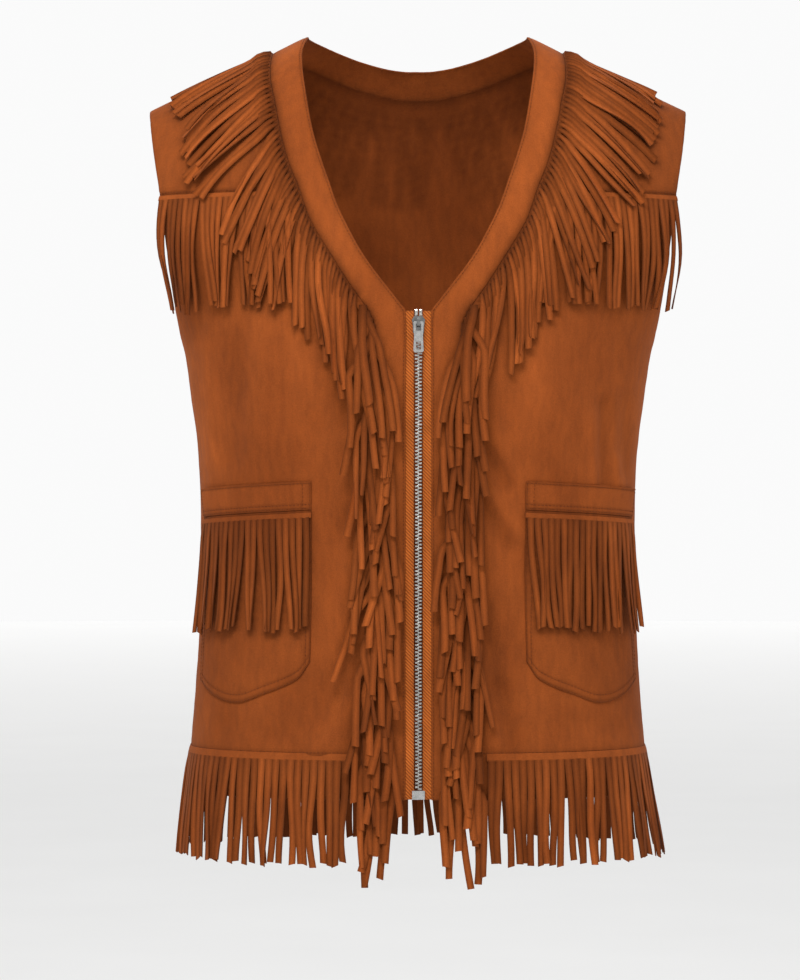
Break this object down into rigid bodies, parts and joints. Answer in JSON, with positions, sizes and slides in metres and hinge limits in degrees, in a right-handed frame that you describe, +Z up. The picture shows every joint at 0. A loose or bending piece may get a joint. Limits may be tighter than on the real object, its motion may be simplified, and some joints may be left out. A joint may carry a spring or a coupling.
{
  "type": "western fringe vest",
  "caption": "Western vest in suede cloth with a zip front, V neck band, yokes, patch pockets and strand fringe, in its worn form with nobody in it.",
  "frame": {"origin": "midway between the two high shoulder points, at the top of the shoulder line, where the wearer's shoulders hold the vest up", "axes": "+Z up, -Y out of the front, +X towards the wearer's left"},
  "size_m": [0.442, 0.255, 0.6838],
  "materials": {
    "suede": "brushed suede cloth, rust brown",
    "fringe_suede": "brushed suede cloth cut into strands",
    "zip_tape": "woven polyester tape",
    "zip_metal": "polished nickel"
  },
  "bodies": {
    "vest": {"front_left": "suede", "front_right": "suede", "yoke_left": "suede", "yoke_right": "suede", "back": "suede", "band_left": "suede", "band_right": "suede", "band_back": "suede", "pocket_left": "suede", "pocket_right": "suede", "pocket_band_left": "suede", "pocket_band_right": "suede", "fringe_neck_left": "fringe_suede", "fringe_neck_right": "fringe_suede", "fringe_neck_back": "fringe_suede", "fringe_front_left": "fringe_suede", "fringe_front_right": "fringe_suede", "fringe_yoke_left": "fringe_suede", "fringe_yoke_right": "fringe_suede", "fringe_pocket_left": "fringe_suede", "fringe_pocket_right": "fringe_suede", "fringe_hem_left": "fringe_suede", "fringe_hem_right": "fringe_suede", "fringe_hem_back": "fringe_suede", "zip_tape_left": "zip_tape", "zip_tape_right": "zip_tape", "zip_chain": "zip_metal", "zip_slider": "zip_metal", "zip_box": "zip_metal"},
    "pull": {"zip_pull": "zip_metal"}
  },
  "joints": [
    {"name": "zip_pull_swing", "type": "hinge", "parent": "vest", "child": "pull", "pos_m": [0, -0.12249, -0.2425], "axis": [-1, 0, 0], "range_deg": [0, 170]}
  ]
}
